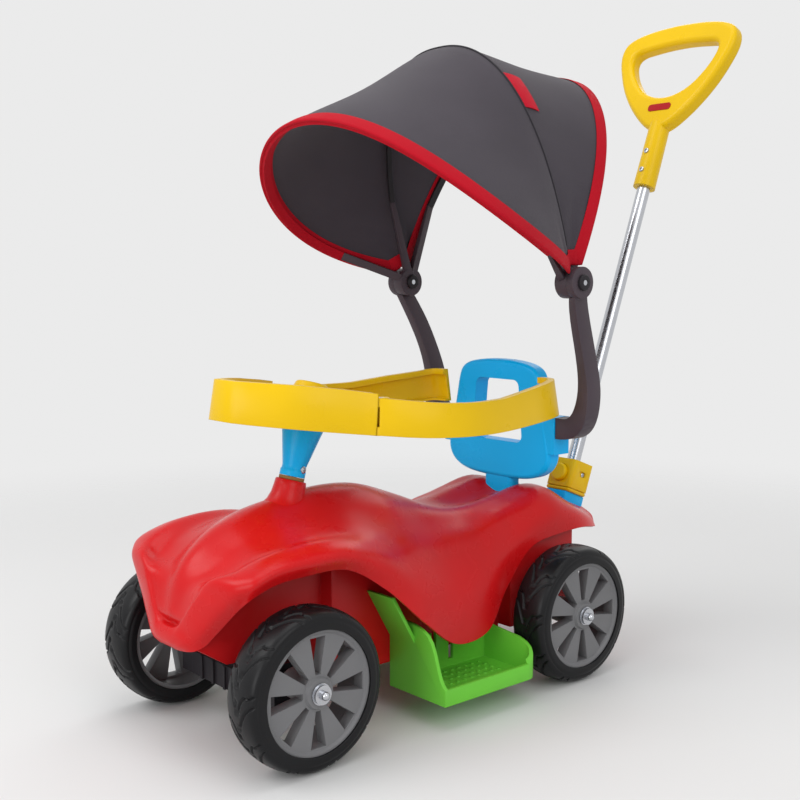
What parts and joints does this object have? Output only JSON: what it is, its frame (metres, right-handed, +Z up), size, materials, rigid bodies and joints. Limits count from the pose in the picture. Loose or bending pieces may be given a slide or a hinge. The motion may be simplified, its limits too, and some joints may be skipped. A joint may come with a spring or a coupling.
{
  "type": "ride-on push car",
  "caption": "Ride-on push car with a moulded body, steered front axle, guard ring, backrest, tilting cloth canopy and a push pole with a loop handle.",
  "frame": {"origin": "on the floor, under the middle of the whole car's box", "axes": "+Z up, the car drives towards -Y, +X is its left side"},
  "size_m": [0.42, 0.9572, 0.9264],
  "materials": {
    "body_red": "moulded, glossy",
    "under_red": "moulded, satin",
    "guard_yellow": "moulded, glossy",
    "trim_blue": "moulded, glossy",
    "foot_green": "moulded, glossy",
    "arm_grey": "moulded, satin",
    "bow_black": "moulded, matte",
    "cloth": "woven cloth",
    "tyre_black": "hard moulded plastic tyre",
    "rim_grey": "moulded, satin",
    "steel": "bright plated steel",
    "bush_brown": "moulded, matte",
    "insert_red": "moulded, glossy"
  },
  "bodies": {
    "chassis": {"body_shell": "body_red", "underbody": "under_red", "rear_axle": "steel", "rear_washers": "steel", "rear_axle_caps": "steel", "rear_spacers": "bow_black", "column_bush": "bush_brown", "guard_front": "guard_yellow", "guard_pins": "steel", "backrest": "trim_blue", "backrest_screws": "steel", "canopy_arm_left": "arm_grey", "canopy_arm_right": "arm_grey", "canopy_bolts": "steel", "rear_bracket": "trim_blue", "socket_base": "guard_yellow", "pole_socket": "guard_yellow", "socket_screw": "steel", "footrest_left": "foot_green", "footrest_right": "foot_green", "footrest_screws": "steel"},
    "steering": {"front_axle_carrier": "bow_black", "front_axle": "steel", "front_washers": "steel", "front_axle_caps": "steel", "front_spacers": "bow_black", "steering_shaft": "steel", "steering_column": "trim_blue", "column_screw": "steel", "steering_cap": "guard_yellow"},
    "wheel_front_left": {"tyre_front_left": "tyre_black", "rim_front_left": "rim_grey"},
    "wheel_front_right": {"tyre_front_right": "tyre_black", "rim_front_right": "rim_grey"},
    "wheel_rear_left": {"tyre_rear_left": "tyre_black", "rim_rear_left": "rim_grey"},
    "wheel_rear_right": {"tyre_rear_right": "tyre_black", "rim_rear_right": "rim_grey"},
    "canopy": {"canopy_bracket_left": "arm_grey", "canopy_bracket_right": "arm_grey", "canopy_bow_front": "bow_black", "canopy_bow_middle": "bow_black", "canopy_bow_rear": "bow_black", "canopy_fabric": "cloth"},
    "guard_left": {"guard_arm_left": "guard_yellow"},
    "guard_right": {"guard_arm_right": "guard_yellow"},
    "push_handle_pole": {"push_pole": "steel", "push_handle": "guard_yellow", "handle_insert": "insert_red", "handle_screws": "steel"},
    "knob": {"clamp_knob": "guard_yellow"}
  },
  "joints": [
    {"name": "steering_turn", "type": "hinge", "parent": "chassis", "child": "steering", "pos_m": [0, -0.30159, 0.294], "axis": [0, 0.2756, 0.9613], "range_deg": [-8, 8]},
    {"name": "wheel_front_left_spin", "type": "hinge", "parent": "steering", "child": "wheel_front_left", "pos_m": [0.1375, -0.38409, 0.09], "axis": [1, 0, 0], "continuous": true},
    {"name": "wheel_front_right_spin", "type": "hinge", "parent": "steering", "child": "wheel_front_right", "pos_m": [-0.1375, -0.38409, 0.09], "axis": [1, 0, 0], "continuous": true},
    {"name": "wheel_rear_left_spin", "type": "hinge", "parent": "chassis", "child": "wheel_rear_left", "pos_m": [0.1375, 0.05091, 0.09], "axis": [1, 0, 0], "continuous": true},
    {"name": "wheel_rear_right_spin", "type": "hinge", "parent": "chassis", "child": "wheel_rear_right", "pos_m": [-0.1375, 0.05091, 0.09], "axis": [1, 0, 0], "continuous": true},
    {"name": "canopy_tilt", "type": "hinge", "parent": "chassis", "child": "canopy", "pos_m": [0, 0.02041, 0.525], "axis": [1, 0, 0], "range_deg": [-25, 25]},
    {"name": "guard_left_swing", "type": "hinge", "parent": "chassis", "child": "guard_left", "pos_m": [0.1041, -0.24994, 0.3725], "axis": [0, 0, -1], "range_deg": [0, 35]},
    {"name": "guard_right_swing", "type": "hinge", "parent": "chassis", "child": "guard_right", "pos_m": [-0.1041, -0.24994, 0.3725], "axis": [0, 0, 1], "range_deg": [0, 35]},
    {"name": "pole_lift", "type": "slide", "parent": "chassis", "child": "push_handle_pole", "axis": [0, 0.3567, 0.9342], "range_m": [0, 0.03]},
    {"name": "knob_turn", "type": "hinge", "parent": "chassis", "child": "knob", "pos_m": [0, 0.19349, 0.24244], "axis": [0, -0.9342, 0.3567], "range_deg": [0, 90]}
  ]
}
